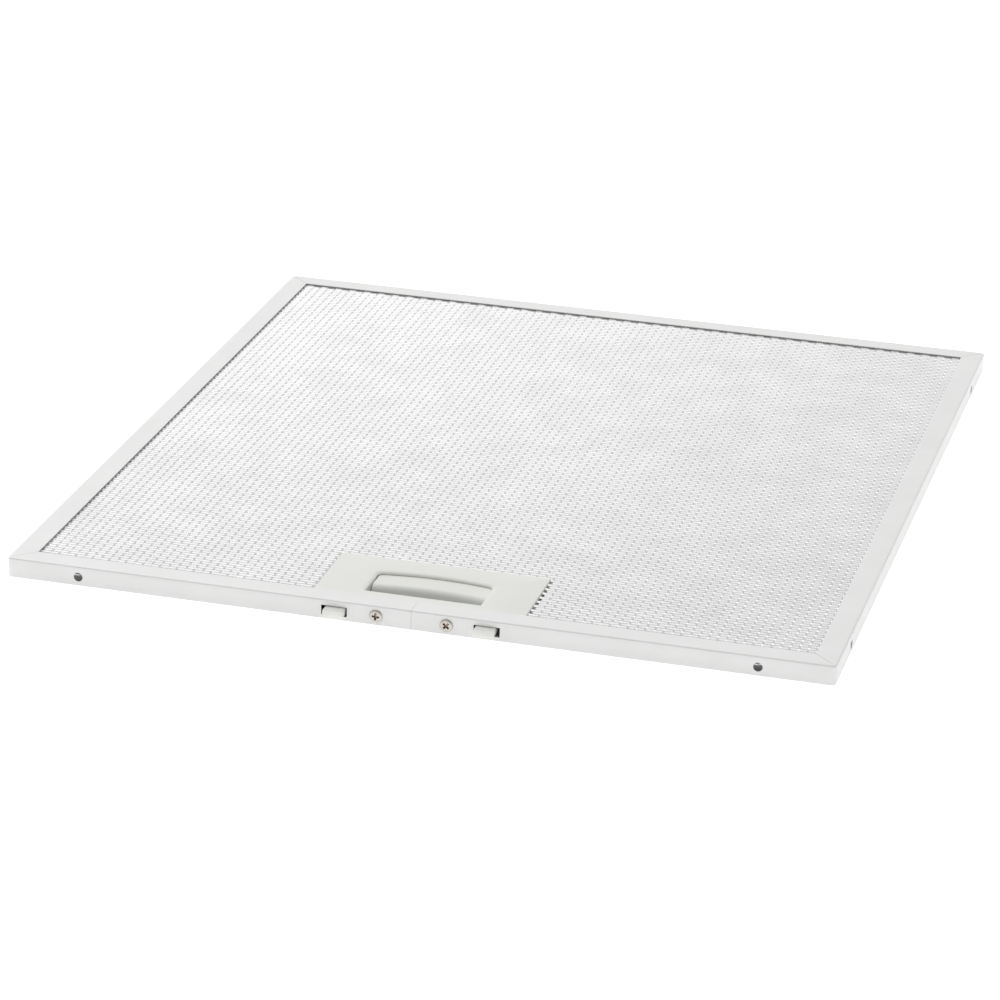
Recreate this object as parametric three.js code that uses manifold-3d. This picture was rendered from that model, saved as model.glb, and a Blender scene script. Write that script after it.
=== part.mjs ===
// Grease filter cassette of an under cabinet range hood, in millimetres.
// +X runs to the right along the handle side, +Y from the handle side to the rear, +Z up.
// The origin is in the middle of the underside of the bounding box, latch tongues included.
import * as THREE from "three";
import { mergeVertices } from "three/addons/utils/BufferGeometryUtils.js";
import Module from "manifold-3d";

const wasm = await Module();
wasm.setup();

// Whole filter
const WIDTH = 360;
const DEPTH = 400;
const HEIGHT = 9;
const TONGUE_REACH = 3;
const FRONT_Y = (TONGUE_REACH - DEPTH) / 2;
const REAR_Y = FRONT_Y + DEPTH;

// Edge channel, one strip bent round the four corners
const SHEET = 0.6;
const LIP = 10.4;
const CORNER_RADIUS = 2;
const JOINT_GAP = 0.3;
const MITRE_START = 2.4;
const DRAIN_DIAMETER = 4;
const DRAIN_FROM_CORNER = { side: 35, rear: 42, front: 32.4 };
const WEB_MIDDLE_Z = 4.2;

// Filter pack, from the underside up
const FACE_MESH = 1.2;
const FACE_MESH_INSET = 0.8;
const INNER_LAYERS = 7;
const INNER_LAYER = 0.4;
const PACK_EDGE_GAP = 1.2;
const NOTCH_GAP = 0.6;

// Handle and latch. Places along the depth are measured back from the front face.
const HANDLE_WIDTH = 93;
const HANDLE_FRONT = 1.2;
const HANDLE_BACK = 53.5;
const PLATE = 1.3;
const PLATE_BELOW_LIP = 0.1;
const OPENING = { halfWidth: 25.3, front: 16.6, middleBack: 40.4, endBack: 37.8, corner: 3 };
const SKIRT = { front: 16.9, back: 32.7, thickness: 1.2, bottom: 2.4 };
const BASE_FLOOR = 1.2;
const BASE_WALL = 1.4;
const SCREW_BLOCK = { halfWidth: 26.6, back: 16.6 };
const BOSS = { x: 42, radius: 2.6, hole: 1.7, peg: 1.3, pegLength: 3.4, at: [20, 47] };
const SCREW = { x: 15.3, z: 4.4, head: 2.8, headHeight: 0.9, shank: 1.45, length: 11, hole: 1.75 };
const PILOT_RADIUS = 1.75;
const RECESS = { length: 3.5, width: 0.9, depth: 0.9 };

const WINDOW = { middle: -0.5, spread: 33.15, width: 11.3, height: 4.3 };
const SLIDER_X = -0.8;
const TONGUE = { spread: 32.7, width: 9.1, bottom: 2.4, top: 6 };
const BRIDGE = { front: 33, back: 42.5 };
const GRIP = { halfWidth: 24.95, middle: 26.8, end: 24.3, noseLength: 4.4, noseHeight: 2.6, top: 6.8 };
const SPRING = { x: 30, radius: 1.55, wire: 0.25, turns: 7, endGap: 0.3 };
const SPRING_PEG = { radius: 0.9, length: 2.6 };

const COLOURS = {
  frame: { color: 0xdfe0e0, roughness: 0.35, metalness: 0.9 },
  mesh: { color: 0xe2e2e0, roughness: 0.4, metalness: 0.9 },
  foil: { color: 0xc9cac8, roughness: 0.45, metalness: 0.9 },
  plastic: { color: 0xe2e4df, roughness: 0.5, metalness: 0 },
  tray: { color: 0x8d8f8c, roughness: 0.6, metalness: 0 },
  spring: { color: 0xb9bbbd, roughness: 0.3, metalness: 1 },
  screw: { color: 0xc4b9b2, roughness: 0.3, metalness: 1 },
};

// ---- Solids ----

function solid(geometry) {
  const plain = geometry.clone();
  plain.deleteAttribute("normal");
  plain.deleteAttribute("uv");
  const merged = mergeVertices(plain, 1e-5);
  return new wasm.Manifold(
    new wasm.Mesh({
      numProp: 3,
      vertProperties: new Float32Array(merged.attributes.position.array),
      triVerts: new Uint32Array(merged.index.array),
    }),
  );
}

function toGeometry(body) {
  const mesh = body.getMesh();
  const geometry = new THREE.BufferGeometry();
  geometry.setAttribute("position", new THREE.BufferAttribute(mesh.vertProperties, 3));
  geometry.setIndex(new THREE.BufferAttribute(mesh.triVerts, 1));
  geometry.computeVertexNormals();
  return geometry;
}

function box(x0, x1, y0, y1, z0, z1) {
  const geometry = new THREE.BoxGeometry(x1 - x0, y1 - y0, z1 - z0);
  geometry.translate((x0 + x1) / 2, (y0 + y1) / 2, (z0 + z1) / 2);
  return solid(geometry);
}

// A box whose depth is given from the front face
function slab(x0, x1, front, back, z0, z1) {
  return box(x0, x1, FRONT_Y + front, FRONT_Y + back, z0, z1);
}

function prism(shape, z0, z1, curveSegments = 8) {
  const geometry = new THREE.ExtrudeGeometry(shape, { depth: z1 - z0, bevelEnabled: false, curveSegments });
  geometry.translate(0, 0, z0);
  return solid(geometry);
}

function rodAlongY(radius, x, y0, y1, z, sides = 16) {
  const geometry = new THREE.CylinderGeometry(radius, radius, y1 - y0, sides);
  geometry.translate(x, (y0 + y1) / 2, z);
  return solid(geometry);
}

function rodAlongX(radius, x0, x1, y, z, sides = 16) {
  const geometry = new THREE.CylinderGeometry(radius, radius, x1 - x0, sides);
  geometry.rotateZ(Math.PI / 2);
  geometry.translate((x0 + x1) / 2, y, z);
  return solid(geometry);
}

function rodAlongZ(radius, x, y, z0, z1, sides = 16) {
  const geometry = new THREE.CylinderGeometry(radius, radius, z1 - z0, sides);
  geometry.rotateX(Math.PI / 2);
  geometry.translate(x, y, (z0 + z1) / 2);
  return solid(geometry);
}

function sheetOutline(inset, radius) {
  const right = WIDTH / 2 - inset;
  const front = FRONT_Y + inset;
  const rear = REAR_Y - inset;
  const outline = new THREE.Shape();
  outline.moveTo(-right + radius, front);
  outline.lineTo(right - radius, front);
  outline.absarc(right - radius, front + radius, radius, -Math.PI / 2, 0, false);
  outline.lineTo(right, rear - radius);
  outline.absarc(right - radius, rear - radius, radius, 0, Math.PI / 2, false);
  outline.lineTo(-right + radius, rear);
  outline.absarc(-right + radius, rear - radius, radius, Math.PI / 2, Math.PI, false);
  outline.lineTo(-right, front + radius);
  outline.absarc(-right + radius, front + radius, radius, Math.PI, Math.PI * 1.5, false);
  return outline;
}

// ---- Edge channel ----

// Cuts through both lips along the diagonal of one corner, short of the bent web
function mitreCut(sideX, sideY) {
  const length = (LIP + 1 - MITRE_START) * Math.SQRT2;
  const geometry = new THREE.BoxGeometry(length, JOINT_GAP, HEIGHT + 2);
  geometry.rotateZ((sideX * sideY * Math.PI) / 4);
  const inset = (LIP + 1 + MITRE_START) / 2;
  const y = sideY > 0 ? REAR_Y - inset : FRONT_Y + inset;
  geometry.translate(sideX * (WIDTH / 2 - inset), y, HEIGHT / 2);
  return solid(geometry);
}

function drainHoles() {
  const reach = 4;
  const right = WIDTH / 2;
  const holes = [];
  for (const side of [-1, 1]) {
    const frontX = side * (right - DRAIN_FROM_CORNER.front);
    const rearX = side * (right - DRAIN_FROM_CORNER.rear);
    holes.push(rodAlongY(DRAIN_DIAMETER / 2, frontX, FRONT_Y - reach, FRONT_Y + reach, WEB_MIDDLE_Z));
    holes.push(rodAlongY(DRAIN_DIAMETER / 2, rearX, REAR_Y - reach, REAR_Y + reach, WEB_MIDDLE_Z));
    for (const y of [FRONT_Y + DRAIN_FROM_CORNER.side, REAR_Y - DRAIN_FROM_CORNER.rear]) {
      const x = side * right;
      holes.push(rodAlongX(DRAIN_DIAMETER / 2, x - reach, x + reach, y, WEB_MIDDLE_Z));
    }
  }
  return holes;
}

function frontCuts() {
  const halfWindow = WINDOW.width / 2;
  const z0 = WEB_MIDDLE_Z - WINDOW.height / 2;
  const z1 = WEB_MIDDLE_Z + WINDOW.height / 2;
  const cuts = [slab(-JOINT_GAP / 2, JOINT_GAP / 2, -1, LIP + 1, -1, HEIGHT + 1)];
  for (const side of [-1, 1]) {
    const middle = WINDOW.middle + side * WINDOW.spread;
    cuts.push(slab(middle - halfWindow, middle + halfWindow, -1, SHEET + 1, z0, z1));
    cuts.push(rodAlongY(SCREW.hole, side * SCREW.x, FRONT_Y - 1, FRONT_Y + SHEET + 1, SCREW.z));
  }
  return cuts;
}

function frameChannel() {
  const outer = prism(sheetOutline(0, CORNER_RADIUS), 0, HEIGHT);
  const hollow = prism(sheetOutline(SHEET, CORNER_RADIUS - SHEET), SHEET, HEIGHT - SHEET);
  const inner = WIDTH / 2 - LIP;
  const window = box(-inner, inner, FRONT_Y + LIP, REAR_Y - LIP, -1, HEIGHT + 1);
  let body = outer.subtract(hollow).subtract(window);
  for (const cut of [...frontCuts(), ...drainHoles()]) body = body.subtract(cut);
  for (const x of [-1, 1]) for (const y of [-1, 1]) body = body.subtract(mitreCut(x, y));
  return toGeometry(body);
}

// ---- Filter pack ----

// One sheet of the pack, notched at the front for the handle
function packSheet(z0, thickness) {
  const right = WIDTH / 2 - SHEET - PACK_EDGE_GAP;
  const notch = HANDLE_WIDTH / 2 + NOTCH_GAP;
  const front = FRONT_Y + SHEET + PACK_EDGE_GAP;
  const rear = REAR_Y - SHEET - PACK_EDGE_GAP;
  const notchRear = FRONT_Y + HANDLE_BACK + NOTCH_GAP;
  const outline = new THREE.Shape();
  outline.moveTo(-right, front);
  outline.lineTo(-notch, front);
  outline.lineTo(-notch, notchRear);
  outline.lineTo(notch, notchRear);
  outline.lineTo(notch, front);
  outline.lineTo(right, front);
  outline.lineTo(right, rear);
  outline.lineTo(-right, rear);
  return toGeometry(prism(outline, z0, z0 + thickness));
}

function packHeights() {
  const bottom = FACE_MESH_INSET;
  const top = HEIGHT - FACE_MESH_INSET - FACE_MESH;
  const space = top - bottom - FACE_MESH;
  const gap = (space - INNER_LAYERS * INNER_LAYER) / (INNER_LAYERS + 1);
  const inner = [];
  for (let i = 0; i < INNER_LAYERS; i += 1) {
    inner.push(bottom + FACE_MESH + gap + i * (INNER_LAYER + gap));
  }
  return { bottom, top, inner };
}

// ---- Handle ----

function plateTop() {
  return HEIGHT - SHEET - PLATE_BELOW_LIP;
}

function plateUnderside() {
  return plateTop() - PLATE;
}

// The opening for the fingers, straight in front with an arched back edge
function openingOutline() {
  const { halfWidth, front, middleBack, endBack, corner } = OPENING;
  const outline = new THREE.Shape();
  outline.moveTo(-halfWidth, FRONT_Y + front);
  outline.lineTo(halfWidth, FRONT_Y + front);
  outline.lineTo(halfWidth, FRONT_Y + endBack - corner);
  outline.quadraticCurveTo(halfWidth, FRONT_Y + endBack, halfWidth - corner, FRONT_Y + endBack);
  const control = 2 * middleBack - endBack;
  outline.quadraticCurveTo(0, FRONT_Y + control, corner - halfWidth, FRONT_Y + endBack);
  outline.quadraticCurveTo(-halfWidth, FRONT_Y + endBack, -halfWidth, FRONT_Y + endBack - corner);
  return outline;
}

function bossPlaces() {
  return BOSS.at.flatMap((back) => [-BOSS.x, BOSS.x].map((x) => [x, FRONT_Y + back]));
}

// The plate, with pegs below it and a skirt down each end of the finger opening
function handlePlate() {
  const z0 = plateUnderside();
  const half = HANDLE_WIDTH / 2;
  let body = slab(-half, half, HANDLE_FRONT, HANDLE_BACK, z0, plateTop());
  body = body.subtract(prism(openingOutline(), z0 - 1, plateTop() + 1));
  const joined = z0 + PLATE / 2;
  for (const [x, y] of bossPlaces()) {
    body = body.add(rodAlongZ(BOSS.peg, x, y, z0 - BOSS.pegLength, joined));
  }
  for (const side of [-1, 1]) {
    const wall = [side * OPENING.halfWidth, side * (OPENING.halfWidth + SKIRT.thickness)];
    const [x0, x1] = [Math.min(...wall), Math.max(...wall)];
    body = body.add(slab(x0, x1, SKIRT.front, SKIRT.back, SKIRT.bottom, joined));
  }
  return toGeometry(body);
}

// Tray under the plate: floor, walls, block for the screws and sockets for the pegs. The block's sides
// guide the arms of the slider.
function handleBase() {
  const half = HANDLE_WIDTH / 2;
  const z0 = FACE_MESH_INSET;
  const floorTop = z0 + BASE_FLOOR;
  const top = plateUnderside() - 0.1;
  const overlap = 0.2;
  let body = slab(-half, half, HANDLE_FRONT, HANDLE_BACK, z0, floorTop);
  body = body.add(slab(-half, half, HANDLE_BACK - BASE_WALL, HANDLE_BACK, floorTop - overlap, top));
  const { halfWidth, back } = SCREW_BLOCK;
  body = body.add(slab(-halfWidth, halfWidth, HANDLE_FRONT, back, floorTop - overlap, top));
  for (const side of [-1, 1]) {
    const [wall0, wall1] = [side * half, side * (half - BASE_WALL)].sort((a, b) => a - b);
    body = body.add(slab(wall0, wall1, HANDLE_FRONT, HANDLE_BACK, floorTop - overlap, top));
    const end = FRONT_Y + SCREW.length + 1;
    body = body.subtract(rodAlongY(PILOT_RADIUS, side * SCREW.x, FRONT_Y, end, SCREW.z));
  }
  for (const [x, y] of bossPlaces()) {
    body = body.add(rodAlongZ(BOSS.radius, x, y, floorTop - overlap, top));
    body = body.subtract(rodAlongZ(BOSS.hole, x, y, floorTop, top + 1));
  }
  return toGeometry(body);
}

// The finger grip, between the skirts: a bull nose below a flat top, with a front that is arched in plan
function grip() {
  const { halfWidth, middle, end, noseLength, noseHeight, top } = GRIP;
  const nose = FRONT_Y + end;
  const back = FRONT_Y + BRIDGE.back;
  const profile = new THREE.Shape();
  profile.moveTo(back, TONGUE.bottom);
  profile.lineTo(nose, TONGUE.bottom);
  profile.lineTo(nose, top - noseHeight);
  const noseTurn = [nose + noseLength, top - noseHeight];
  profile.absellipse(...noseTurn, noseLength, noseHeight, Math.PI, Math.PI / 2, true);
  profile.lineTo(back, top);
  const length = 2 * halfWidth;
  const bar = new THREE.ExtrudeGeometry(profile, { depth: length, bevelEnabled: false, curveSegments: 8 });
  // The profile's own x and y become the filter's Y and Z, and its length runs along X
  const alongX = new THREE.Matrix4().makeBasis(
    new THREE.Vector3(0, 1, 0),
    new THREE.Vector3(0, 0, 1),
    new THREE.Vector3(1, 0, 0),
  );
  bar.applyMatrix4(alongX);
  bar.translate(-halfWidth, 0, 0);
  const plan = new THREE.Shape();
  plan.moveTo(-halfWidth, nose);
  plan.quadraticCurveTo(0, nose + 2 * (middle - end), halfWidth, nose);
  plan.lineTo(halfWidth, back + 1);
  plan.lineTo(-halfWidth, back + 1);
  return solid(bar).intersect(prism(plan, TONGUE.bottom - 1, top + 1));
}

function latchSlider() {
  let body = grip();
  const reach = TONGUE.spread + TONGUE.width / 2;
  const { bottom, top } = TONGUE;
  const y = FRONT_Y + BRIDGE.back;
  const z = (bottom + top) / 2;
  body = body.add(slab(SLIDER_X - reach, SLIDER_X + reach, BRIDGE.front, BRIDGE.back, bottom, top));
  for (const side of [-1, 1]) {
    const middle = SLIDER_X + side * TONGUE.spread;
    const half = TONGUE.width / 2;
    body = body.add(slab(middle - half, middle + half, -TONGUE_REACH, BRIDGE.front + 1, bottom, top));
    const x = SLIDER_X + side * SPRING.x;
    body = body.add(rodAlongY(SPRING_PEG.radius, x, y - 1, y + SPRING_PEG.length, z, 12));
  }
  return toGeometry(body);
}

class Coil extends THREE.Curve {
  constructor(x, y0, y1, z) {
    super();
    Object.assign(this, { x, y0, y1, z });
  }

  getPoint(t, target = new THREE.Vector3()) {
    const angle = t * SPRING.turns * Math.PI * 2;
    const x = this.x + SPRING.radius * Math.cos(angle);
    const y = this.y0 + t * (this.y1 - this.y0);
    return target.set(x, y, this.z + SPRING.radius * Math.sin(angle));
  }
}

function latchSpring(side) {
  const clearance = SPRING.wire + SPRING.endGap;
  const y0 = FRONT_Y + BRIDGE.back + clearance;
  const y1 = FRONT_Y + HANDLE_BACK - BASE_WALL - clearance;
  const coil = new Coil(SLIDER_X + side * SPRING.x, y0, y1, (TONGUE.bottom + TONGUE.top) / 2);
  const section = new THREE.Shape();
  section.absarc(0, 0, SPRING.wire, 0, Math.PI * 2, false);
  return new THREE.ExtrudeGeometry(section, {
    steps: SPRING.turns * 10,
    curveSegments: 6,
    extrudePath: coil,
    bevelEnabled: false,
  });
}

function handleScrew(side) {
  const profile = [
    [0, -SCREW.length],
    [SCREW.shank * 0.5, -SCREW.length],
    [SCREW.shank, -SCREW.length + 1.6],
    [SCREW.shank, 0.1],
    [SCREW.head, 0.1],
    [SCREW.head, SCREW.headHeight * 0.45],
    [SCREW.head * 0.82, SCREW.headHeight * 0.82],
    [SCREW.head * 0.45, SCREW.headHeight],
    [0, SCREW.headHeight],
  ].map(([r, h]) => new THREE.Vector2(r, h));
  const turned = new THREE.LatheGeometry(profile, 20);
  turned.rotateX(Math.PI);
  let body = solid(turned);
  const { length, width, depth } = RECESS;
  const y1 = -SCREW.headHeight + depth;
  body = body.subtract(box(-length / 2, length / 2, y1 - 3, y1, -width / 2, width / 2));
  body = body.subtract(box(-width / 2, width / 2, y1 - 3, y1, -length / 2, length / 2));
  const geometry = toGeometry(body);
  geometry.translate(side * SCREW.x, FRONT_Y, SCREW.z);
  return geometry;
}

// ---- Assembly ----

const filter = new THREE.Group();

function addPiece(name, geometry, colour) {
  const mesh = new THREE.Mesh(geometry, new THREE.MeshStandardMaterial(COLOURS[colour]));
  mesh.name = name;
  filter.add(mesh);
}

const heights = packHeights();
addPiece("frame_channel", frameChannel(), "frame");
addPiece("bottom_mesh", packSheet(heights.bottom, FACE_MESH), "mesh");
heights.inner.forEach((z, i) => addPiece(`inner_mesh_${i + 1}`, packSheet(z, INNER_LAYER), "foil"));
addPiece("top_mesh", packSheet(heights.top, FACE_MESH), "mesh");
addPiece("handle_base", handleBase(), "tray");
addPiece("handle_plate", handlePlate(), "plastic");
addPiece("latch_slider", latchSlider(), "plastic");
for (const [name, side] of [["left", -1], ["right", 1]]) {
  addPiece(`latch_spring_${name}`, latchSpring(side), "spring");
  addPiece(`handle_screw_${name}`, handleScrew(side), "screw");
}

export default filter;
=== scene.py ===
"""Looks of a range hood's grease filter cassette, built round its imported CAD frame.

Blender works in metres. The shapes below are worked out in millimetres, in the CAD's own frame:
+X right along the handle side, +Y to the rear, +Z up. add_mesh() turns them into metres."""

import math

import bmesh
import bpy
import numpy as np
from mathutils import Matrix, Vector


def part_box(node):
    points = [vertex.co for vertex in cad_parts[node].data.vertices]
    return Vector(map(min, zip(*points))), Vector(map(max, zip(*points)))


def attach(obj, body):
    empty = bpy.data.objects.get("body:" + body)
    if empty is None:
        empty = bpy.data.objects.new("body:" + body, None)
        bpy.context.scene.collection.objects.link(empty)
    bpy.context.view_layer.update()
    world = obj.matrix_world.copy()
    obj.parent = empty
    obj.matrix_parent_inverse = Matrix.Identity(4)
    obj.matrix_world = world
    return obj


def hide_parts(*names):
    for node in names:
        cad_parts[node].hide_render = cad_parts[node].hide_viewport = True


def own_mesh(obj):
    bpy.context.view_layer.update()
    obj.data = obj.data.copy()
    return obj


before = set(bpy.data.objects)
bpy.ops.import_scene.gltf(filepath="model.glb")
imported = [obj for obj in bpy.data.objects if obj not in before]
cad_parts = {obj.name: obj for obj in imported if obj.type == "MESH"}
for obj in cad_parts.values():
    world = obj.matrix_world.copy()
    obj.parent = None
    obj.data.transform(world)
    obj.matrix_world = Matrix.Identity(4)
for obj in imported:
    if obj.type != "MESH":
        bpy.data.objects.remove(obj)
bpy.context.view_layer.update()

MM = 0.001


def node_box(name):
    """Lowest and highest corners of a CAD node, in millimetres."""
    low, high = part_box(name)
    return np.array(low) / MM, np.array(high) / MM


# ---- Driving sizes, in millimetres ----

FRAME_LOW, FRAME_HIGH = node_box("frame_channel")
RIGHT = FRAME_HIGH[0]
FRONT = FRAME_LOW[1]
REAR = FRAME_HIGH[1]
HEIGHT = FRAME_HIGH[2]

# The edge channel: one strip of sheet, its corners bent and its lips mitred.
SHEET = 0.45
LIP = 10.4
FOLD_RADIUS = 0.75
CORNER_RADIUS = 2.0
CORNER_TAB = 1.9
MITRE_GAP = 0.22
SEAM_GAP = 0.1
WEB_MIDDLE_Z = 4.2
DRAIN_RADIUS = 2.0
DRAIN_FROM_CORNER = {"side": 35, "rear": 42, "front": 32.4}
WINDOW = {"middle": -0.5, "spread": 33.15, "width": 11.3, "height": 4.3}

# Expanded metal. "long" and "short" are the diamond's sizes along X and Y, "strand" is the width of
# a strand, "tilt" is its lean at the bonds in degrees, and "bond" is how much of each half pitch
# is flat bond.
FACE_SHEET = {
    "long": 7.6, "short": 4.72, "strand": 1.16, "tilt": 29, "thickness": 0.24, "bond": 0.24,
}
FOIL_SHEET = {
    "long": 14.0, "short": 8.0, "strand": 1.5, "tilt": 7, "thickness": 0.1, "bond": 0.0,
}
STRAND_FLATTENING = 11
FACE_PHASE_X = 167.3
FOIL_PHASE_STEP = 3.1
FACE_UNDER_LIP = 2.2
FACE_LIP_GAP = 0.03
FACE_TOOTH = 1.6
FOIL_FROM_EDGE = 5
PACK_GAP = 0.1

SCREW_X = 15.3
SCREW_Z = 4.4
SCREW_HOLE_RADIUS = 1.75
SCREW_TURN = {"left": 4, "right": 42}
SCREW_HEAD = {"radius": 2.8, "height": 0.9, "face": 2.1, "crown": 0.12, "rim": 0.55, "gap": 0.1}
SCREW_THREAD = {
    "length": 11.0, "pitch": 1.1, "core": 1.02, "crest": 0.4, "neck": 1.45, "taper": 1.8,
}
RECESS = {"arm": 1.8, "half_width": 0.5, "depth": 1.0}

# Handle and latch. Places along the depth are measured back from the front face.
PLATE = 1.3
PLATE_CORNER = 1.6
PLATE_EDGE_ROUND = 0.5
OPENING = {
    "half": 25.3, "front": 16.6, "end_back": 37.8, "middle_back": 40.4,
    "corner": 2.6, "front_corner": 0.8,
}
# How far the opening's rounded rim spreads at the plate's top, and how deep the rounding goes.
RIM = {"sides": 2.6, "back": 2.0, "front": 0.7, "corner": 2.2, "front_corner": 0.6, "depth": 0.95}
BOSS_X = 42.0
BOSS_BACKS = (20.0, 47.0)
PEG = {"radius": 1.3, "length": 4.4, "below": 1.2}
SOCKET = {"radius": 2.6, "hole": 1.7}
SKIRT = {"front": 16.9, "back": 32.7, "thickness": 1.2, "bottom": 2.4}
TRAY_FLOOR = 1.2
TRAY_WALL = 1.4
TRAY_EDGE_ROUND = 0.22
BLOCK = {"half": 26.6, "back": 16.6}
PILOT_LENGTH = 12
SLIDER_X = -0.8
# "nose" is the foot of the grip's sloping front, "slope" is that front's angle in degrees, and
# "shoulder" is the radius between it and the flat top.
GRIP = {
    "half": 24.95, "nose_middle": 26.8, "nose_end": 24.3,
    "slope": 68, "shoulder": 3.4, "top": 6.8,
}
BRIDGE = {"half": 37.25, "front": 33.0, "back": 42.5}
TONGUE = {"spread": 32.7, "half": 4.55, "bottom": 2.4, "top": 6.0, "reach": 3.0}
SPRING_X = 30.0
SPRING_PEG = {"radius": 0.9, "length": 3.6, "behind": 0.8}
COIL = {"radius": 1.55, "wire": 0.25, "turns": 7, "end_closing": 0.072}

OVERLAP = 0.2
SHARP_ANGLE = 35


# ---- Meshes ----


class Shells:
    """Vertices and faces of one piece, gathered shell by shell."""

    def __init__(self):
        self.verts = []
        self.faces = []

    def add(self, verts, faces):
        start = len(self.verts)
        self.verts.extend(tuple(v) for v in verts)
        self.faces.extend(tuple(start + i for i in face) for face in faces)

    def quad(self, a, b, c, d):
        self.add([a, b, c, d], [(0, 1, 2, 3)])


def add_mesh(name, verts, faces, weld=None):
    """An object from millimetre points. weld is the distance within which points become one."""
    mesh = bpy.data.meshes.new(name)
    mesh.from_pydata((np.array(verts, float) * MM).tolist(), [], faces)
    bm = bmesh.new()
    bm.from_mesh(mesh)
    if weld:
        bmesh.ops.remove_doubles(bm, verts=bm.verts, dist=weld * MM)
        bmesh.ops.dissolve_degenerate(bm, edges=bm.edges, dist=weld * MM)
    bmesh.ops.recalc_face_normals(bm, faces=bm.faces)
    bm.to_mesh(mesh)
    bm.free()
    piece = bpy.data.objects.new(name, mesh)
    bpy.context.collection.objects.link(piece)
    return piece


def smooth(piece, degrees):
    """Smooth shading, with an edge kept sharp where its faces meet at more than this angle."""
    mesh = piece.data
    mesh.shade_smooth()
    mesh.set_sharp_from_angle(angle=math.radians(degrees))


def finish_piece(piece, material, body, slot, *nodes):
    """Gives a piece its one material, parents it to its body's empty and hides the CAD nodes it
    stands for. The slot argument is not used.
    """
    piece.data.materials.clear()
    piece.data.materials.append(material)
    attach(piece, body)
    if nodes:
        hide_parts(*nodes)
    return piece


def apply_modifiers(piece):
    graph = bpy.context.evaluated_depsgraph_get()
    mesh = bpy.data.meshes.new_from_object(piece.evaluated_get(graph))
    old = piece.data
    piece.modifiers.clear()
    piece.data = mesh
    bpy.data.meshes.remove(old)


def boolean(piece, tools, operation):
    """Cuts or joins the tool objects, in turn, with the exact solver, and removes them."""
    for tool in tools:
        change = piece.modifiers.new("boolean", "BOOLEAN")
        change.object = tool
        change.operation = operation
        change.solver = "EXACT"
        change.material_mode = "TRANSFER"
    bpy.context.view_layer.update()
    apply_modifiers(piece)
    for tool in tools:
        mesh = tool.data
        bpy.data.objects.remove(tool)
        bpy.data.meshes.remove(mesh)


def soften(piece, width):
    """Rounds the piece's sharp edges."""
    bevel = piece.modifiers.new("edges", "BEVEL")
    bevel.width = width * MM
    bevel.segments = 2
    bevel.limit_method = "ANGLE"
    bevel.angle_limit = math.radians(40)
    apply_modifiers(piece)


def loft(rings, closed_ends=True):
    """Faces between rings of equal length, each a closed loop of points."""
    count = len(rings[0])
    verts = [p for ring in rings for p in ring]
    faces = []
    for r in range(len(rings) - 1):
        for i in range(count):
            j = (i + 1) % count
            faces.append((r * count + i, r * count + j, (r + 1) * count + j, (r + 1) * count + i))
    if closed_ends:
        faces.append(tuple(reversed(range(count))))
        faces.append(tuple(range((len(rings) - 1) * count, len(rings) * count)))
    return verts, faces


def box_tool(name, low, high):
    corners = [(x, y, z) for z in (low[2], high[2]) for x, y in
               ((low[0], low[1]), (high[0], low[1]), (high[0], high[1]), (low[0], high[1]))]
    return add_mesh(name, *loft([corners[:4], corners[4:]]))


def rod_tool(name, centre, axis, radius, length, sides=32):
    """A round rod with its middle at centre, along "x", "y" or "z"."""
    ends = []
    for along in (-length / 2, length / 2):
        ring = []
        for i in range(sides):
            a = 2 * math.pi * i / sides
            u, v = radius * math.cos(a), radius * math.sin(a)
            offset = {"x": (along, u, v), "y": (u, along, v), "z": (u, v, along)}[axis]
            ring.append(tuple(np.array(centre) + offset))
        ends.append(ring)
    return add_mesh(name, *loft(ends))


# ---- Materials ----


def new_material(name):
    material = bpy.data.materials.new(name)
    material.use_nodes = True
    nodes = material.node_tree.nodes
    return material, nodes, material.node_tree.links, nodes["Principled BSDF"]


def noise(nodes, links, scale, detail):
    """A noise in the object's own coordinates, whose scale is in turns a metre."""
    where = nodes.new("ShaderNodeTexCoord")
    texture = nodes.new("ShaderNodeTexNoise")
    texture.inputs["Scale"].default_value = scale
    texture.inputs["Detail"].default_value = detail
    links.new(where.outputs["Object"], texture.inputs["Vector"])
    return texture.outputs["Fac"]


def ramp(nodes, links, source, low, high):
    """Maps a 0 to 1 value to a colour between low and high."""
    colour = nodes.new("ShaderNodeValToRGB")
    colour.color_ramp.elements[0].position = 0.3
    colour.color_ramp.elements[1].position = 0.7
    colour.color_ramp.elements[0].color = (*low, 1)
    colour.color_ramp.elements[1].color = (*high, 1)
    links.new(source, colour.inputs["Fac"])
    return colour.outputs["Color"]


def spread(nodes, links, source, low, high):
    """Maps a 0 to 1 value to a number between low and high."""
    value = nodes.new("ShaderNodeMapRange")
    value.inputs["To Min"].default_value = low
    value.inputs["To Max"].default_value = high
    links.new(source, value.inputs["Value"])
    return value.outputs["Result"]


def bump(nodes, links, shader, source, depth):
    """Raises the surface by up to depth millimetres."""
    node = nodes.new("ShaderNodeBump")
    node.inputs["Strength"].default_value = 1.0
    node.inputs["Distance"].default_value = depth * MM
    links.new(source, node.inputs["Height"])
    links.new(node.outputs["Normal"], shader.inputs["Normal"])


def metal(name, low, high, roughness, metallic=1.0):
    """Mill-finish metal: a slight mottle in colour and roughness over a fine grain."""
    material, nodes, links, shader = new_material(name)
    shader.inputs["Metallic"].default_value = metallic
    mottle = noise(nodes, links, 60, 4.0)
    links.new(ramp(nodes, links, mottle, low, high), shader.inputs["Base Color"])
    grain = noise(nodes, links, 900, 2.0)
    rough = spread(nodes, links, grain, roughness - 0.05, roughness + 0.05)
    links.new(rough, shader.inputs["Roughness"])
    bump(nodes, links, shader, grain, depth=0.01)
    return material


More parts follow.
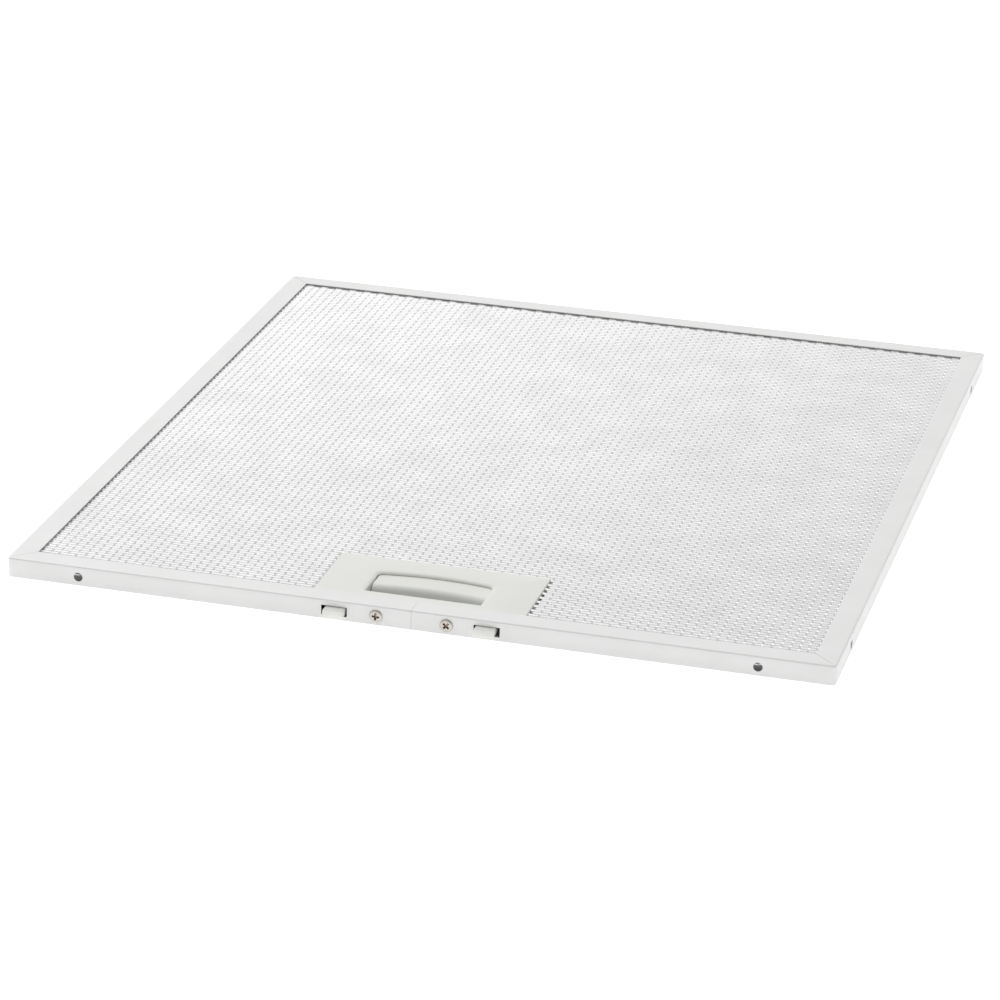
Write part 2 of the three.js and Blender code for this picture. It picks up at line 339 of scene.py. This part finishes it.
def plastic(name, low, high, roughness):
    """Moulded plastic: a faint flow mottle over the fine grain of a spark-eroded mould."""
    material, nodes, links, shader = new_material(name)
    mottle = noise(nodes, links, 35, 3.0)
    links.new(ramp(nodes, links, mottle, low, high), shader.inputs["Base Color"])
    grain = noise(nodes, links, 1400, 2.0)
    rough = spread(nodes, links, grain, roughness - 0.06, roughness + 0.06)
    links.new(rough, shader.inputs["Roughness"])
    shader.inputs["Specular IOR Level"].default_value = 0.4
    bump(nodes, links, shader, grain, depth=0.015)
    return material


EDGE_METAL = metal(
    "edge_aluminium", (0.815, 0.815, 0.81), (0.85, 0.85, 0.845), 0.45, metallic=0.15)
MESH_METAL = metal("mesh_aluminium", (0.77, 0.77, 0.77), (0.83, 0.83, 0.83), 0.48, metallic=0.4)
FOIL_METAL = metal(
    "foil_aluminium", (0.75, 0.75, 0.745), (0.83, 0.83, 0.825), 0.45, metallic=0.45)
SPRING_METAL = metal("spring_steel", (0.5, 0.5, 0.51), (0.6, 0.6, 0.61), 0.28)
SCREW_METAL = metal("screw_nickel", (0.54, 0.51, 0.47), (0.64, 0.61, 0.57), 0.36)
# Painted shade: the dark brown given to the cross recess's faces stands for the shade inside the
# recess, not for a colour of the screw.
RECESS_PAINTED_SHADE = metal("screw_recess", (0.34, 0.28, 0.24), (0.42, 0.35, 0.30), 0.5)
PLASTIC = plastic("handle_plastic", (0.825, 0.835, 0.79), (0.855, 0.865, 0.82), 0.5)
TRAY_PLASTIC = plastic("tray_plastic", (0.25, 0.26, 0.25), (0.29, 0.30, 0.29), 0.6)


# ---- Edge channel ----


def channel_section():
    """The U section as matching outer and inner points, each (distance in from the face, height).
    They run from the upper lip's edge round to the lower lip's edge."""
    steps = 5
    lip_stations = (LIP, CORNER_RADIUS + MITRE_GAP, CORNER_TAB)
    outer = [(u, HEIGHT) for u in lip_stations]
    inner = [(u, HEIGHT - SHEET) for u in lip_stations]
    inner_radius = FOLD_RADIUS - SHEET
    for i in range(steps + 1):
        a = math.pi / 2 * i / steps
        s, c = math.sin(a), math.cos(a)
        outer.append((FOLD_RADIUS * (1 - s), HEIGHT - FOLD_RADIUS * (1 - c)))
        inner.append((FOLD_RADIUS - inner_radius * s, HEIGHT - FOLD_RADIUS + inner_radius * c))
    lower = [(u, HEIGHT - z) for u, z in reversed(outer)]
    lower_inner = [(u, HEIGHT - z) for u, z in reversed(inner)]
    return outer + lower, inner + lower_inner


def place(corner, along, inward, s, u, z):
    """The point s along a side from its corner, u in from its outer face, at height z."""
    x, y = np.array(corner) + np.array(along) * s + np.array(inward) * u
    return (x, y, z)


def mitre_setback(u):
    """How far from the corner a lip ends, at a distance u in from the outer face."""
    return CORNER_RADIUS if u <= CORNER_TAB else max(CORNER_RADIUS, u) + MITRE_GAP / 2


def straight_side(
    shells, corner, along, inward, length, section, seam_start=False, seam_end=False,
):
    """One straight run of the channel, between two mitres or a mitre and the seam."""
    outer, inner = section

    def point(uz, end):
        u, z = uz
        setback = mitre_setback(u)
        if end == 0:
            s = SEAM_GAP / 2 if seam_start else setback
        else:
            s = length - (SEAM_GAP / 2 if seam_end else setback)
        return place(corner, along, inward, s, u, z)

    last = len(outer) - 1
    for chain, flip in ((outer, False), (inner, True)):
        for i in range(last):
            a, b = (chain[i + 1], chain[i]) if flip else (chain[i], chain[i + 1])
            shells.quad(point(a, 0), point(b, 0), point(b, 1), point(a, 1))
    for i, flip in ((0, True), (last, False)):
        a, b = (inner[i], outer[i]) if flip else (outer[i], inner[i])
        shells.quad(point(a, 0), point(b, 0), point(b, 1), point(a, 1))
    for end, whole in ((0, seam_start), (1, seam_end)):
        for i in range(last):
            on_lip = min(outer[i][0], outer[i + 1][0]) >= CORNER_TAB
            if whole or on_lip:
                ring = (outer[i], outer[i + 1], inner[i + 1], inner[i])
                shells.quad(*(point(p, end) for p in (ring if end else reversed(ring))))


def bent_corner(shells, centre, start_angle, section):
    """The web and folds bent round one corner. The lips stop short of it."""
    outer, inner = ([p for p in chain if p[0] <= CORNER_TAB] for chain in section)
    ring = outer + inner[::-1]
    steps = 6
    rows = []
    for k in range(steps + 1):
        a = start_angle + math.pi / 2 * k / steps
        out = np.array([math.cos(a), math.sin(a)])
        rows.append([(*(np.array(centre) + (CORNER_RADIUS - u) * out), z) for u, z in ring])
    for k in range(steps):
        for i in range(len(ring)):
            j = (i + 1) % len(ring)
            shells.quad(rows[k][i], rows[k][j], rows[k + 1][j], rows[k + 1][i])


def frame_cutters():
    """Rods and boxes that pierce the web: drain holes, screw holes and latch windows."""
    reach = 5
    tools = []
    for side in (-1, 1):
        for name, x, y in (
            ("front_drain", side * (RIGHT - DRAIN_FROM_CORNER["front"]), FRONT),
            ("rear_drain", side * (RIGHT - DRAIN_FROM_CORNER["rear"]), REAR),
            ("screw_hole", side * SCREW_X, FRONT),
        ):
            radius = SCREW_HOLE_RADIUS if name == "screw_hole" else DRAIN_RADIUS
            tools.append(rod_tool(name, (x, y, WEB_MIDDLE_Z), "y", radius, reach))
        for y in (FRONT + DRAIN_FROM_CORNER["side"], REAR - DRAIN_FROM_CORNER["rear"]):
            centre = (side * RIGHT, y, WEB_MIDDLE_Z)
            tools.append(rod_tool("side_drain", centre, "x", DRAIN_RADIUS, reach))
        middle = WINDOW["middle"] + side * WINDOW["spread"]
        half_width, half_height = WINDOW["width"] / 2, WINDOW["height"] / 2
        low = (middle - half_width, FRONT - reach / 2, WEB_MIDDLE_Z - half_height)
        high = (middle + half_width, FRONT + reach / 2, WEB_MIDDLE_Z + half_height)
        tools.append(box_tool("window", low, high))
    return tools


def build_frame():
    """The strip of edge channel: five straight runs, four bent corners and the holes in its web."""
    section = channel_section()
    shells = Shells()
    width, depth = 2 * RIGHT, REAR - FRONT
    right, rear, left, front = (0, 1), (-1, 0), (0, -1), (1, 0)
    straight_side(shells, (0, FRONT), front, (0, 1), RIGHT, section, seam_start=True)
    straight_side(shells, (RIGHT, FRONT), right, (-1, 0), depth, section)
    straight_side(shells, (RIGHT, REAR), rear, (0, -1), width, section)
    straight_side(shells, (-RIGHT, REAR), left, (1, 0), depth, section)
    straight_side(shells, (-RIGHT, FRONT), front, (0, 1), RIGHT, section, seam_end=True)
    inset_x = RIGHT - CORNER_RADIUS
    front_y, rear_y = FRONT + CORNER_RADIUS, REAR - CORNER_RADIUS
    for centre, start in (
        ((inset_x, front_y), -math.pi / 2),
        ((inset_x, rear_y), 0),
        ((-inset_x, rear_y), math.pi / 2),
        ((-inset_x, front_y), math.pi),
    ):
        bent_corner(shells, centre, start, section)
    piece = add_mesh("edge_channel", shells.verts, shells.faces, weld=0.002)
    boolean(piece, frame_cutters(), "DIFFERENCE")
    smooth(piece, 32)
    return finish_piece(piece, EDGE_METAL, "cassette", "edge_aluminium", "frame_channel")


# ---- Expanded mesh ----


def expanded_sheet(name, sheet, low_z, spans, phase_x, face):
    """Expanded metal: rows of zigzag strands, each a tilted ribbon that meets its neighbours at
    the bonds.

    sheet holds the sizes, and low_z is the sheet's lowest height. spans(y, row) gives the X ranges
    in which a row at y has metal. face is 1 where the louvres face forwards and up, or -1 for
    a sheet laid the other way up."""
    long_pitch, strand, thickness = sheet["long"], sheet["strand"], sheet["thickness"]
    bond, tilt = sheet["bond"], math.radians(sheet["tilt"])
    pitch = sheet["short"] / 2
    swing = (pitch - strand * math.cos(tilt)) / 2
    rise = strand * math.sin(tilt) / 2
    half = strand / 2
    middle_tilt = tilt - math.radians(STRAND_FLATTENING)
    middle_z = low_z + 2 * rise + thickness * math.cos(tilt) / 2
    quarter = long_pitch / 4
    flat = bond * quarter
    breaks = np.array([-quarter - flat, -quarter + flat, quarter - flat, quarter + flat])
    rows = int((REAR - FRONT) / pitch) + 2
    shortest = 0.05
    verts, faces = [], []
    for row in range(rows):
        base_y = FRONT + row * pitch
        for x0, x1 in spans(base_y, row):
            first = math.floor((x0 - phase_x) / long_pitch) - 1
            last = math.ceil((x1 - phase_x) / long_pitch) + 1
            marks = (phase_x + long_pitch * np.arange(first, last)[:, None] + breaks).ravel()
            between = (marks > x0 + shortest) & (marks < x1 - shortest)
            x = np.concatenate([[x0], marks[between], [x1]])
            turn = (x - phase_x) / long_pitch % 1.0
            distance = np.abs(turn - 0.5) * 4 - 1
            wave = np.clip(distance / (1 - bond), -1, 1) * (-1) ** row
            angle = middle_tilt + (tilt - middle_tilt) * np.abs(wave)
            y = base_y + swing * wave
            z = middle_z - face * rise * wave
            along = np.stack([np.cos(angle), face * np.sin(angle)], 1)
            across = np.stack([-face * np.sin(angle), np.cos(angle)], 1)
            start = len(verts)
            corners = [(-half, -0.5), (half, -0.5), (half, 0.5), (-half, 0.5)]
            for i in range(len(x)):
                for a, b in corners:
                    dy, dz = a * along[i] + b * thickness * across[i]
                    verts.append((x[i], y[i] + dy, z[i] + dz))
            count = len(x)
            for i in range(count - 1):
                p = start + 4 * i
                for k in range(4):
                    n = (k + 1) % 4
                    faces.append((p + k, p + 4 + k, p + 4 + n, p + n))
            faces.append((start, start + 1, start + 2, start + 3))
            end = start + 4 * (count - 1)
            faces.append((end + 3, end + 2, end + 1, end))
    return add_mesh(name, verts, faces)


def pack_spans(edge, handle_half, handle_back, tooth=0.0):
    """The X ranges with metal at a given Y: the whole width, less the notch for the handle.
    tooth is how much further from the handle's right side every second row stops."""

    def spans(y, row):
        if y < FRONT + edge or y > REAR - edge:
            return []
        if y < handle_back:
            return [(-RIGHT + edge, -handle_half), (handle_half + tooth * (row % 2), RIGHT - edge)]
        return [(-RIGHT + edge, RIGHT - edge)]

    return spans


def build_pack():
    """The two face meshes, each just inside its lip, and the foil layers between them."""
    high = node_box("handle_plate")[1]
    notch = (high[0] + PACK_GAP, high[1] + PACK_GAP)
    face_spans = pack_spans(LIP - FACE_UNDER_LIP, *notch, FACE_TOOTH)
    tilt = math.radians(FACE_SHEET["tilt"])
    tall = 2 * FACE_SHEET["strand"] * math.sin(tilt) + FACE_SHEET["thickness"] * math.cos(tilt)
    top_z, bottom_z = HEIGHT - SHEET - FACE_LIP_GAP - tall, SHEET + FACE_LIP_GAP
    for node, face, phase, low_z in (
        ("top_mesh", 1, FACE_PHASE_X, top_z),
        ("bottom_mesh", -1, 0.0, bottom_z),
    ):
        piece = expanded_sheet(f"expanded_{node}", FACE_SHEET, low_z, face_spans, phase, face)
        finish_piece(piece, MESH_METAL, "cassette", "mesh_aluminium", node)
    foil_spans = pack_spans(FOIL_FROM_EDGE, *notch)
    layer = 1
    while f"inner_mesh_{layer}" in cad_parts:
        node = f"inner_mesh_{layer}"
        low_z = node_box(node)[0][2]
        face = 1 if layer % 2 else -1
        piece = expanded_sheet(
            f"foil_layer_{layer}", FOIL_SHEET, low_z, foil_spans, layer * FOIL_PHASE_STEP, face)
        finish_piece(piece, FOIL_METAL, "cassette", "foil_aluminium", node)
        layer += 1


# ---- Handle ----


def rounded_rectangle(x0, x1, y0, y1, radius):
    steps = 4
    points = []
    for cx, cy, start in (
        (x1 - radius, y0 + radius, -90), (x1 - radius, y1 - radius, 0),
        (x0 + radius, y1 - radius, 90), (x0 + radius, y0 + radius, 180),
    ):
        for i in range(steps + 1):
            a = math.radians(start + 90 * i / steps)
            points.append((cx + radius * math.cos(a), cy + radius * math.sin(a)))
    return points


def finger_outline(grow_sides, grow_back, grow_front, corner, front_corner):
    """The finger opening in plan, counterclockwise: a straight front, an arched back and round
    corners. Every outline has the same number of points, so that outlines can be lofted."""
    half = OPENING["half"] + grow_sides
    front = FRONT + OPENING["front"] - grow_front
    end = FRONT + OPENING["end_back"] + grow_back
    middle = FRONT + OPENING["middle_back"] + grow_back
    arch = middle - end
    points = []

    def back_y(x):
        return end + arch * (1 - (x / half) ** 2)

    def corner_arc(cx, cy, radius, start):
        steps = 6
        for i in range(steps + 1):
            a = math.radians(start + 90 * i / steps)
            points.append((cx + radius * math.cos(a), cy + radius * math.sin(a)))

    corner_arc(-half + front_corner, front + front_corner, front_corner, 180)
    corner_arc(half - front_corner, front + front_corner, front_corner, 270)
    turn_y = back_y(half - corner) - corner
    corner_arc(half - corner, turn_y, corner, 0)
    arch_steps = 20
    inner = half - corner
    for i in range(1, arch_steps):
        x = inner - 2 * inner * i / arch_steps
        points.append((x, back_y(x)))
    corner_arc(-half + corner, turn_y, corner, 90)
    return points


def ring_at(outline, z):
    return [(x, y, z) for x, y in outline]


def fill_between(shells, outer, inner):
    """Flat faces between an outer loop and an inner loop of points at one height."""
    bm = bmesh.new()
    for loop in (outer, inner):
        verts = [bm.verts.new(p) for p in loop]
        for i, v in enumerate(verts):
            bm.edges.new((v, verts[(i + 1) % len(verts)]))
    bmesh.ops.triangle_fill(bm, use_beauty=True, use_dissolve=False, edges=bm.edges)
    bm.verts.index_update()
    shells.add([v.co[:] for v in bm.verts], [[v.index for v in f.verts] for f in bm.faces])
    bm.free()


def build_plate():
    """The cover plate: a rounded outer edge, a rounded rim into the opening, pegs and skirts."""
    low, high = node_box("handle_plate")
    top = high[2]
    under = top - PLATE
    shells = Shells()

    edge_steps = 4
    outlines = []
    for i in range(edge_steps + 1):
        a = math.pi / 2 * i / edge_steps
        inset = PLATE_EDGE_ROUND * (1 - math.cos(a))
        outline = rounded_rectangle(
            low[0] + inset, high[0] - inset, low[1] + inset, high[1] - inset, PLATE_CORNER - inset)
        outlines.append(ring_at(outline, top - PLATE_EDGE_ROUND + PLATE_EDGE_ROUND * math.sin(a)))
    outer_bottom = ring_at(
        rounded_rectangle(low[0], high[0], low[1], high[1], PLATE_CORNER), under)
    shells.add(*loft([outer_bottom, *outlines], closed_ends=False))

    corner, front_corner = OPENING["corner"], OPENING["front_corner"]
    rim_steps = 8
    rings = []
    for i in range(rim_steps + 1):
        t = i / rim_steps
        out = 1 - math.sin(math.pi / 2 * t)
        drop = 1 - math.cos(math.pi / 2 * t)
        outline = finger_outline(
            RIM["sides"] * out, RIM["back"] * out, RIM["front"] * out,
            corner + RIM["corner"] * out, front_corner + RIM["front_corner"] * out)
        rings.append(ring_at(outline, top - RIM["depth"] * drop))
    bottom_ring = ring_at(finger_outline(0, 0, 0, corner, front_corner), under)
    shells.add(*loft([*rings, bottom_ring], closed_ends=False))
    fill_between(shells, outlines[-1], rings[0])
    fill_between(shells, outer_bottom, bottom_ring)
    piece = add_mesh("handle_cover_plate", shells.verts, shells.faces, weld=0.001)

    parts = []
    for side in (-1, 1):
        for back in BOSS_BACKS:
            centre = (side * BOSS_X, FRONT + back, under - PEG["below"])
            parts.append(rod_tool("peg", centre, "z", PEG["radius"], PEG["length"]))
        x0, x1 = sorted((side * OPENING["half"], side * (OPENING["half"] + SKIRT["thickness"])))
        parts.append(box_tool("skirt", (x0, FRONT + SKIRT["front"], SKIRT["bottom"]),
                              (x1, FRONT + SKIRT["back"], under + PLATE / 4)))
    boolean(piece, parts, "UNION")
    smooth(piece, SHARP_ANGLE)
    return finish_piece(piece, PLASTIC, "cassette", "handle_plastic", "handle_plate")


def grip_shell():
    """The finger grip: flat on top, with a round shoulder and a sloping front that is arched in
    plan."""
    half, back = GRIP["half"], FRONT + BRIDGE["back"]
    top, bottom = GRIP["top"], TONGUE["bottom"]
    slope, radius = math.radians(GRIP["slope"]), GRIP["shoulder"]
    slope_top = top - radius * (1 - math.cos(slope))
    shoulder = radius * math.sin(slope) + (slope_top - bottom) / math.tan(slope)
    steps, stations = 10, 24
    rings = []
    for i in range(stations + 1):
        x = -half + 2 * half * i / stations
        arch = (GRIP["nose_middle"] - GRIP["nose_end"]) * (1 - (x / half) ** 2)
        nose = FRONT + GRIP["nose_end"] + arch
        ring = [(x, back, bottom), (x, nose, bottom)]
        for k in range(steps + 1):
            a = slope * (1 - k / steps)
            y = nose + shoulder - radius * math.sin(a)
            ring.append((x, y, top - radius * (1 - math.cos(a))))
        ring.append((x, back, top))
        rings.append(ring)
    return add_mesh("latch_slide", *loft(rings))


def tongue_outline():
    """A tongue seen from its end: large radii at the left top and right bottom, small ones
    elsewhere."""
    half, bottom, top = TONGUE["half"], TONGUE["bottom"], TONGUE["top"]
    outline = []
    steps = 5
    for cx, cz, radius, start in (
        (half, bottom, 0.9, -90), (half, top, 0.45, 0),
        (-half, top, 1.5, 90), (-half, bottom, 0.3, 180),
    ):
        middle_x = cx - math.copysign(radius, cx)
        middle_z = cz + (radius if cz == bottom else -radius)
        for i in range(steps + 1):
            a = math.radians(start + 90 * i / steps)
            outline.append((middle_x + radius * math.cos(a), middle_z + radius * math.sin(a)))
    return outline


def tongue_shell(side):
    """A latch tongue and its arm, with the edges of its outer end rounded off."""
    middle_x = SLIDER_X + side * TONGUE["spread"]
    middle_z = (TONGUE["bottom"] + TONGUE["top"]) / 2
    half_height = (TONGUE["top"] - TONGUE["bottom"]) / 2
    into_bridge = BRIDGE["front"] + 4
    rings = []
    for from_end, shrink in (
        (0.0, 0.4), (0.1, 0.2), (0.25, 0.07), (0.45, 0.0), (into_bridge, 0.0),
    ):
        y = FRONT - TONGUE["reach"] + from_end
        scale_x, scale_z = 1 - shrink / TONGUE["half"], 1 - shrink / half_height
        rings.append([(middle_x + x * scale_x, y, middle_z + (z - middle_z) * scale_z)
                      for x, z in tongue_outline()])
    return add_mesh("tongue", *loft(rings))


def build_slider():
    """The slide: grip, bridge behind it, two tongues on their arms, and the springs' pegs."""
    piece = grip_shell()
    low = (SLIDER_X - BRIDGE["half"], FRONT + BRIDGE["front"], TONGUE["bottom"])
    high = (SLIDER_X + BRIDGE["half"], FRONT + BRIDGE["back"], TONGUE["top"])
    parts = [box_tool("bridge", low, high), tongue_shell(-1), tongue_shell(1)]
    peg_z = (TONGUE["bottom"] + TONGUE["top"]) / 2
    for side in (-1, 1):
        peg_y = FRONT + BRIDGE["back"] + SPRING_PEG["behind"]
        centre = (SLIDER_X + side * SPRING_X, peg_y, peg_z)
        parts.append(
            rod_tool("peg", centre, "y", SPRING_PEG["radius"], SPRING_PEG["length"], sides=20))
    boolean(piece, parts, "UNION")
    smooth(piece, SHARP_ANGLE)
    return finish_piece(piece, PLASTIC, "latch", "handle_plastic", "latch_slider")


def turned(profile_point, turn):
    """A point at a radius and depth, turned by a part of a whole turn about the screw's axis."""
    radius, y = profile_point
    a = 2 * math.pi * turn
    return (radius * math.cos(a), y, radius * math.sin(a))


def build_screw(name, side):
    """A pan-head screw: turned head, cross recess and a rolled thread."""
    centre = Vector((side * SCREW_X, FRONT, SCREW_Z))
    radius, tall, face = SCREW_HEAD["radius"], SCREW_HEAD["height"], SCREW_HEAD["face"]
    crown, rim, gap = SCREW_HEAD["crown"], SCREW_HEAD["rim"], SCREW_HEAD["gap"]
    rim_steps, sides = 6, 40
    profile = [(0.02, -tall), (face / 2, -tall + crown / 4), (face, -tall + crown)]
    for i in range(1, rim_steps + 1):
        a = math.pi / 2 * i / rim_steps
        y = -tall + crown + rim * (1 - math.cos(a))
        profile.append((face + (radius - face) * math.sin(a), y))
    profile += [(radius, -gap), (SCREW_THREAD["neck"], -gap)]
    rings = [[turned(point, k / sides) for k in range(sides)] for point in profile]

    length, thread_steps = SCREW_THREAD["length"], 80
    for i in range(1, thread_steps + 1):
        y = -gap + (length + gap) * i / thread_steps
        taper = min(1.0, (length - y) / SCREW_THREAD["taper"] + 0.25)
        ring = []
        for k in range(sides):
            phase = (y / SCREW_THREAD["pitch"] - k / sides) % 1.0
            crest = SCREW_THREAD["crest"] * max(0.0, 1 - abs(phase - 0.5) * 5)
            ring.append(turned(((SCREW_THREAD["core"] + crest) * taper, y), k / sides))
        rings.append(ring)
    piece = add_mesh(name, *loft(rings))
    piece.data.materials.append(SCREW_METAL)

    arm, half_width = RECESS["arm"], RECESS["half_width"]
    cutters = []
    for crosswise in (False, True):
        ends = []
        for y, shorter, narrower in ((-tall - 0.5, 1.0, 1.1), (-tall + RECESS["depth"], 0.7, 0.7)):
            u, v = arm * shorter, half_width * narrower
            corners = [(-u, -v), (u, -v), (u, v), (-u, v)]
            ends.append([(-q, y, p) if crosswise else (p, y, q) for p, q in corners])
        cutter = add_mesh("recess", *loft(ends))
        # The recess faces take this dark colour as painted shade.
        cutter.data.materials.append(RECESS_PAINTED_SHADE)
        cutters.append(cutter)
    boolean(piece, cutters, "DIFFERENCE")
    twist = Matrix.Rotation(math.radians(SCREW_TURN["left" if side < 0 else "right"]), 4, "Y")
    piece.data.transform(Matrix.Translation(centre * MM) @ twist)
    smooth(piece, SHARP_ANGLE)
    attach(piece, "cassette")
    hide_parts(name.replace("pan_", "handle_"))
    return piece


def build_spring(name, node):
    """A coil of round wire, with its end turns closed up."""
    low, high = node_box(node)
    x, z = (low[0] + high[0]) / 2, (low[2] + high[2]) / 2
    radius, wire, turns = COIL["radius"], COIL["wire"], COIL["turns"]
    start, end = low[1] + wire, high[1] - wire
    steps_a_turn, sides = 28, 10
    rings = []
    total = turns * steps_a_turn
    for i in range(total + 1):
        t = i / total
        closed = t - COIL["end_closing"] * math.sin(2 * math.pi * t)
        a = 2 * math.pi * turns * t
        y = start + (end - start) * closed
        centre = Vector((x + radius * math.cos(a), y, z + radius * math.sin(a)))
        out = Vector((math.cos(a), 0, math.sin(a)))
        ring = []
        for k in range(sides):
            b = 2 * math.pi * k / sides
            spoke = math.cos(b) * out + math.sin(b) * Vector((0, 1, 0))
            ring.append(tuple(centre + wire * spoke))
        rings.append(ring)
    piece = add_mesh(name, *loft(rings))
    smooth(piece, 60)
    finish_piece(piece, SPRING_METAL, "cassette", "spring_steel", node)
    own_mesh(piece)
    return piece


def build_base():
    """The tray under the plate: floor, back and side walls, screw block and peg sockets."""
    low, high = node_box("handle_base")
    floor_top, top = low[2] + TRAY_FLOOR, high[2]
    outline = rounded_rectangle(low[0], high[0], low[1], high[1], PLATE_CORNER)
    piece = add_mesh("handle_tray", *loft([ring_at(outline, low[2]), ring_at(outline, top)]))
    cavity = box_tool("cavity", (low[0] + TRAY_WALL, low[1] - 2, floor_top),
                      (high[0] - TRAY_WALL, high[1] - TRAY_WALL, top + 2))
    boolean(piece, [cavity], "DIFFERENCE")
    block_low = (-BLOCK["half"], low[1], floor_top - OVERLAP)
    block_high = (BLOCK["half"], FRONT + BLOCK["back"], top)
    parts = [box_tool("block", block_low, block_high)]
    holes = []
    tall = top - floor_top + OVERLAP
    for x in (-BOSS_X, BOSS_X):
        for back in BOSS_BACKS:
            y = FRONT + back
            parts.append(rod_tool("socket", (x, y, top - tall / 2), "z", SOCKET["radius"], tall))
            holes.append(
                rod_tool("hole", (x, y, top), "z", SOCKET["hole"], 2 * (top - floor_top)))
    for side in (-1, 1):
        centre = (side * SCREW_X, FRONT + PILOT_LENGTH / 2, SCREW_Z)
        holes.append(rod_tool("pilot", centre, "y", SCREW_HOLE_RADIUS, PILOT_LENGTH))
    boolean(piece, parts, "UNION")
    boolean(piece, holes, "DIFFERENCE")
    soften(piece, TRAY_EDGE_ROUND)
    smooth(piece, SHARP_ANGLE)
    return finish_piece(piece, TRAY_PLASTIC, "cassette", "tray_plastic", "handle_base")


# ---- Stage ----

# World brightness in front of the filter and behind it, the floor's own glow, and the lamp's watts.
STUDIO = {"front": 0.44, "back": 1.0, "floor": 0.55, "key": 13}
BRIGHTEST = (-0.45, 0.75, 0.5)
FLOOR_REACH = 4.0
KEY_SIZE = (1.6, 1.2)
KEY_PLACE = (-1.0, 0.9, 1.9)

# The camera stands to the right of the handle side. Angles are in degrees, lengths in metres.
CAMERA = {
    "azimuth": 14.45, "elevation": 21.77, "roll": 1.63,
    "target": (0.0, -0.0556, 0.0045), "distance": 1.797,
    "lens": 144, "sensor": 36,
}


def build_world():
    """A soft white studio: brightest overhead and behind the filter, dimmer towards the camera."""
    world = bpy.data.worlds.new("studio")
    world.use_nodes = True
    nodes, links = world.node_tree.nodes, world.node_tree.links
    where = nodes.new("ShaderNodeTexCoord")
    toward = nodes.new("ShaderNodeVectorMath")
    toward.operation = "DOT_PRODUCT"
    toward.inputs[1].default_value = Vector(BRIGHTEST).normalized()
    level = nodes.new("ShaderNodeMapRange")
    level.interpolation_type = "SMOOTHSTEP"
    level.inputs["From Min"].default_value = -0.2
    level.inputs["From Max"].default_value = 1.0
    level.inputs["To Min"].default_value = STUDIO["front"]
    level.inputs["To Max"].default_value = STUDIO["back"]
    links.new(where.outputs["Generated"], toward.inputs[0])
    links.new(toward.outputs["Value"], level.inputs["Value"])
    links.new(level.outputs["Result"], nodes["Background"].inputs["Strength"])
    nodes["Background"].inputs["Color"].default_value = (1, 1, 1, 1)
    bpy.context.scene.world = world


def build_stage():
    """The pale floor, and one large soft lamp to the left behind the filter."""
    floor_mesh = bpy.data.meshes.new("floor")
    signs = ((-1, -1), (1, -1), (1, 1), (-1, 1))
    corners = [(FLOOR_REACH * x, FLOOR_REACH * y, 0) for x, y in signs]
    floor_mesh.from_pydata(corners, [], [(0, 1, 2, 3)])
    floor = bpy.data.objects.new("floor", floor_mesh)
    bpy.context.collection.objects.link(floor)
    material, _, _, shader = new_material("pale_floor")
    shader.inputs["Base Color"].default_value = (0.93, 0.93, 0.93, 1)
    shader.inputs["Roughness"].default_value = 0.9
    shader.inputs["Specular IOR Level"].default_value = 0.1
    shader.inputs["Emission Color"].default_value = (1, 1, 1, 1)
    shader.inputs["Emission Strength"].default_value = STUDIO["floor"]
    floor_mesh.materials.append(material)

    lamp = bpy.data.lights.new("key", "AREA")
    lamp.shape = "RECTANGLE"
    lamp.size, lamp.size_y = KEY_SIZE
    lamp.energy = STUDIO["key"]
    key = bpy.data.objects.new("key", lamp)
    key.location = KEY_PLACE
    aim = -key.location
    key.rotation_euler = aim.to_track_quat("-Z", "Y").to_euler()
    bpy.context.collection.objects.link(key)


def build_camera():
    azimuth, elevation, roll = (math.radians(CAMERA[k]) for k in ("azimuth", "elevation", "roll"))
    look = Vector((
        -math.sin(azimuth) * math.cos(elevation),
        math.cos(azimuth) * math.cos(elevation),
        -math.sin(elevation),
    ))
    level = Vector((math.cos(azimuth), math.sin(azimuth), 0))
    upright = level.cross(look)
    right = level * math.cos(roll) + upright * math.sin(roll)
    up = upright * math.cos(roll) - level * math.sin(roll)
    lens = bpy.data.cameras.new("camera")
    lens.sensor_width = CAMERA["sensor"]
    lens.lens = CAMERA["lens"]
    lens.clip_start = 0.01
    camera = bpy.data.objects.new("camera", lens)
    turn = Matrix((right, up, -look)).transposed().to_4x4()
    stand = Vector(CAMERA["target"]) - look * CAMERA["distance"]
    camera.matrix_world = Matrix.Translation(stand) @ turn
    bpy.context.collection.objects.link(camera)
    bpy.context.scene.camera = camera


bpy.context.scene.view_settings.view_transform = "Standard"
build_camera()
build_world()
build_stage()
build_frame()
build_pack()
build_plate()
build_slider()
build_base()
for side, word in ((-1, "left"), (1, "right")):
    build_screw(f"pan_screw_{word}", side)
    build_spring(f"coil_spring_{word}", f"latch_spring_{word}")
